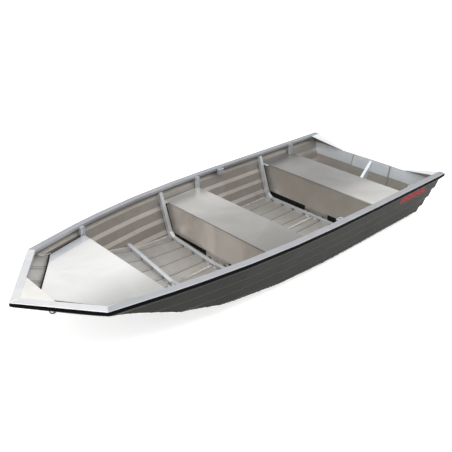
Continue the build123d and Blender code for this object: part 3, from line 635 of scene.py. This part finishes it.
bracket_metal = sheet_metal(
    "bracket_metal", srgb(222, 225, 229), srgb(196, 200, 205),
    metallic=0.6, roughness=0.40, grain=GRAIN_ALONG_X,
)[0]
finish_with(
    bracket_metal,
    "seat_mid_rails",
    "seat_aft_rails",
    "seat_mid_hangers",
    "seat_aft_hangers",
    "foredeck_rails",
    "foredeck_hangers",
)
HANGER_BEAD_R = 0.0030
HANGER_WANDER = 0.3
HANGER_BEAD_IN = 0.024
HANGER_BEAD_OUT = 0.005
OVER_SEATS = 0.36
seat_tops = surface("seat_mid_top", "seat_aft_top", "seat_mid_rails", "seat_aft_rails")
feet = bmesh.new()
for name in ("seat_mid_hangers", "seat_aft_hangers"):
    foot_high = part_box(name)[1]
    for side in (1, -1):
        front_x = foot_high[0] + HANGER_BEAD_R / 2
        inner = Vector((front_x, side * (foot_high[1] - HANGER_BEAD_IN), 0))
        outer = Vector((front_x, side * (foot_high[1] - HANGER_BEAD_OUT), 0))
        line = [dropped(seat_tops, spot.x, spot.y, OVER_SEATS) for spot in between(inner, outer)]
        add_bead(feet, line, HANGER_BEAD_R, HANGER_WANDER)
new_piece("hanger_welds", feet, weld_metal)

# The foredeck: one six-sided sheet, slightly buckled between its rails, and the plate that
# closes the nose between the gunwales.
DECK_HALF = 0.40
deck_metal = sheet_metal(
    "deck_metal", srgb(240, 240, 239), srgb(224, 223, 220),
    metallic=0.6, roughness=0.36, grain=GRAIN_ALONG_Y,
    patch_scale=2.6, patch=0.5, streak=0.06, bump=0.15, buckle=0.35,
)
# Painted reflection on the deck: white at starboard and in the middle, greyer towards port.
finish_with(painted_reflection_across_beam(*deck_metal, WHITE, WHITE, REFLECTION_MID, DECK_HALF), "foredeck")
plate_metal = sheet_metal(
    "plate_metal", srgb(242, 240, 236), srgb(224, 222, 218),
    metallic=0.6, roughness=0.38, grain=GRAIN_ALONG_Y,
    patch_scale=6.0,
)[0]
finish_with(plate_metal, "bow_plate")

# The transom: a raked sheet with its stiffening strip, knee, corner plates and bung. The motor
# pad is bare inside and painted a worn pale grey outside.
transom_metal = sheet_metal(
    "transom_metal", srgb(190, 186, 180), srgb(172, 167, 160),
    metallic=0.65, roughness=0.42, grain=GRAIN_ALONG_Y,
)[0]
finish_with(transom_metal, "transom", "motor_pad_inner")
cap_metal = sheet_metal(
    "cap_metal", srgb(240, 246, 251), srgb(222, 228, 233),
    metallic=0.6, roughness=0.38, grain=GRAIN_ALONG_Y,
)[0]
finish_with(cap_metal, "transom_cap", "transom_knee")
corner_metal = sheet_metal(
    "corner_metal", srgb(246, 248, 250), srgb(230, 233, 236),
    metallic=0.6, roughness=0.40, grain=GRAIN_ALONG_Y,
    patch_scale=6.0,
)[0]
finish_with(corner_metal, "corner_plates")
pad_paint, pad_tree, pad_shader = new_material("pad_paint", roughness=0.55, specular=0.3)
pad_wear = ramp(pad_tree, noise(pad_tree, Scale=14.0, Detail=5.0), 0.4, 0.7)
pad_colour = mixed(pad_tree, pad_wear, srgb(176, 180, 182), srgb(148, 150, 150))
pad_tree.links.new(pad_colour, pad_shader.inputs["Base Color"])
finish_with(pad_paint, "motor_pad_outer")
bung_plastic, bung_tree, bung_shader = new_material("bung_plastic", srgb(26, 26, 27))
bung_rough = ramp(bung_tree, noise(bung_tree, Scale=70.0), 0.3, 0.7, 0.35, 0.6)
bung_tree.links.new(bung_rough, bung_shader.inputs["Roughness"])
finish_with(bung_plastic, "bung")

# The fittings: a grey plastic rowlock socket inside each gunwale, and the steel towing eye under
# the nose.
rowlock_plastic, rowlock_tree, rowlock_shader = new_material("rowlock_plastic", roughness=0.45)
rowlock_wear = noise(rowlock_tree, Scale=50.0, Detail=3.0)
rowlock_colour = mixed(rowlock_tree, rowlock_wear, srgb(140, 144, 148), srgb(164, 168, 172))
rowlock_tree.links.new(rowlock_colour, rowlock_shader.inputs["Base Color"])
finish_with(rowlock_plastic, "rowlock_port", "rowlock_starboard")
eye_steel = sheet_metal(
    "eye_steel", srgb(104, 106, 110), srgb(84, 84, 86),
    metallic=0.9, roughness=0.35, grain=GRAIN_ALONG_Z,
)[0]
finish_with(eye_steel, "bow_eye")

# The chine welds: one long uneven bead inside the hull on each side, where side meets bottom,
# laid by casting rays outward until the sheet that they meet changes.
CHINE_STEP = 0.012
CHINE_START_X = -1.69
CHINE_END_X = 1.40
CHINE_R = 0.0040
CHINE_WANDER = 0.35
CHINE_STRAY = 0.0015
CHINE_IN = 0.10
ABOVE_FLOOR = 0.001
ABOVE_CHINE = 0.40
HALVINGS = 14
chines = bmesh.new()
for side in (1, -1):
    name = "port" if side == 1 else "starboard"
    both_faces = surface(f"side_{name}", f"bottom_{name}")
    side_count = len(nodes[f"side_{name}"].data.polygons)
    line = []
    for i in range(int((CHINE_END_X - CHINE_START_X) / CHINE_STEP) + 1):
        x = CHINE_START_X + i * CHINE_STEP
        low = dropped(floor_sheets, x, side * CHINE_IN).z + ABOVE_FLOOR
        high = ABOVE_CHINE
        for _ in range(HALVINGS):
            height = (low + high) / 2
            met = both_faces.ray_cast(Vector((x, side * CHINE_IN, height)), Vector((0, side, 0)))
            if met[2] is not None and met[2] < side_count:
                high = height
            else:
                low = height
        corner = both_faces.ray_cast(Vector((x, side * CHINE_IN, high)), Vector((0, side, 0)))[0]
        stray = Vector((0, CHINE_STRAY * dice.uniform(-1, 1), CHINE_STRAY * dice.uniform(-1, 1)))
        line.append(corner + stray)
    add_bead(chines, line, CHINE_R, CHINE_WANDER)
new_piece("chine_welds", chines, weld_metal)

low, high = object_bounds()
